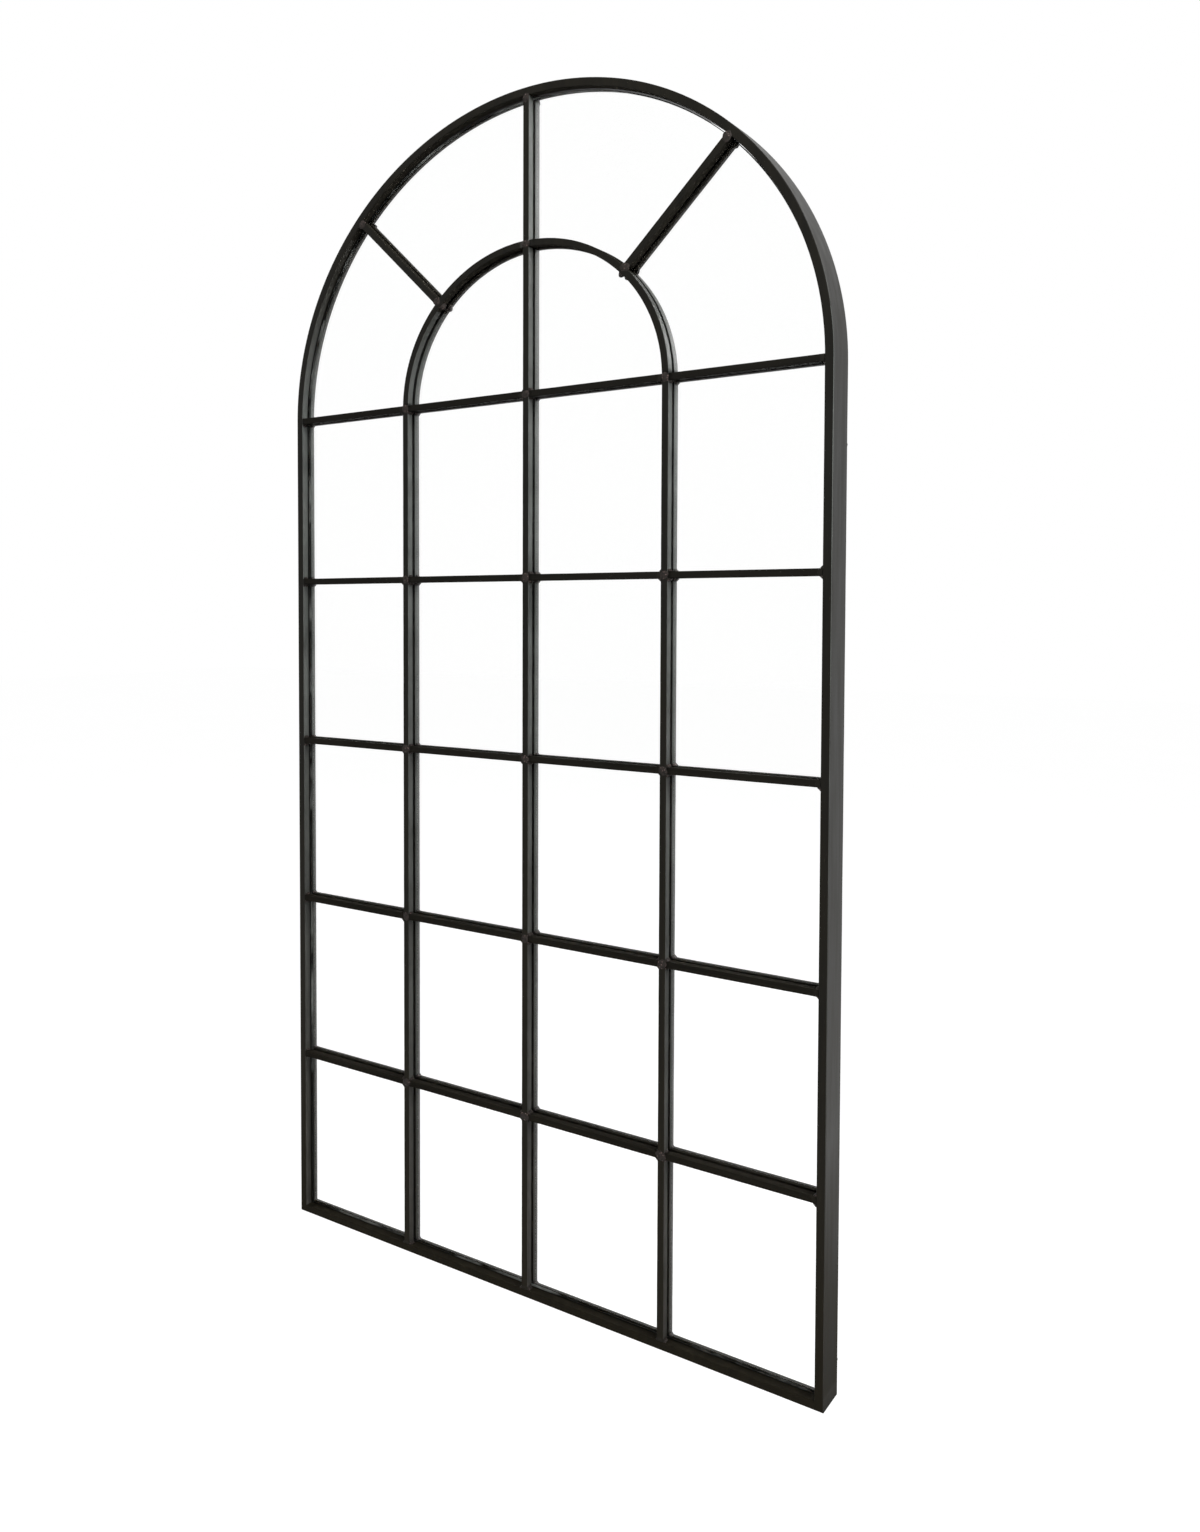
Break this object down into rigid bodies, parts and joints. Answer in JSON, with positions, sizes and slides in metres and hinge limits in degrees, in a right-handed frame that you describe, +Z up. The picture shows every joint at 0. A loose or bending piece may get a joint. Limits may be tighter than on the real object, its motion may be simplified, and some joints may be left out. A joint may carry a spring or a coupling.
{
  "type": "arched window mirror",
  "caption": "Wall mirror shaped as an arched window: welded steel frame and glazing bars flush in front, one mirror glass behind them, hung by two holes.",
  "frame": {"origin": "middle of the line between the two hanging holes, on the plane of the frame's back", "axes": "+Z up, front and glass towards -Y, wall towards +Y, +X to the right seen from the front"},
  "size_m": [0.89, 0.0596, 1.7999],
  "materials": {
    "frame_paint": "satin black paint, faintly brown and streaked, over steel tube",
    "bar_paint": "satin black paint over solid steel bar",
    "weld": "rough weld, thinly painted, brown-grey with light specks",
    "mirror": "silvered glass with a ground arris",
    "hardboard": "smooth brown hardboard",
    "clip_steel": "zinc-plated sheet steel",
    "screw_steel": "zinc-plated pan-head screw",
    "plate_paint": "satin black paint",
    "rubber": "matt black rubber"
  },
  "bodies": {
    "root": {"left_stile": "frame_paint", "right_stile": "frame_paint", "bottom_rail": "frame_paint", "arch_head": "frame_paint", "centre_bar": "bar_paint", "left_bar": "bar_paint", "right_bar": "bar_paint", "inner_arch_left": "bar_paint", "inner_arch_right": "bar_paint", "spoke_right": "bar_paint", "spoke_left": "bar_paint", "crossbar_1_left_outer": "bar_paint", "crossbar_1_left_inner": "bar_paint", "crossbar_1_right_inner": "bar_paint", "crossbar_1_right_outer": "bar_paint", "crossbar_2_left_outer": "bar_paint", "crossbar_2_left_inner": "bar_paint", "crossbar_2_right_inner": "bar_paint", "crossbar_2_right_outer": "bar_paint", "crossbar_3_left_outer": "bar_paint", "crossbar_3_left_inner": "bar_paint", "crossbar_3_right_inner": "bar_paint", "crossbar_3_right_outer": "bar_paint", "crossbar_4_left_outer": "bar_paint", "crossbar_4_left_inner": "bar_paint", "crossbar_4_right_inner": "bar_paint", "crossbar_4_right_outer": "bar_paint", "crossbar_5_left_outer": "bar_paint", "crossbar_5_left_inner": "bar_paint", "crossbar_5_right_inner": "bar_paint", "crossbar_5_right_outer": "bar_paint", "crossing_welds": "weld", "springing_welds": "weld", "stile_welds": "weld", "rail_welds": "weld", "arch_welds": "weld", "spoke_buttons": "weld", "hanger_welds": "weld", "mirror_glass": "mirror", "backing_board": "hardboard", "stile_clips": "clip_steel", "rail_clips": "clip_steel", "head_clips": "clip_steel", "stile_screws": "screw_steel", "rail_screws": "screw_steel", "head_screws": "screw_steel", "hanger_plate_left": "plate_paint", "hanger_plate_right": "plate_paint", "wall_pads": "rubber"}
  },
  "joints": []
}
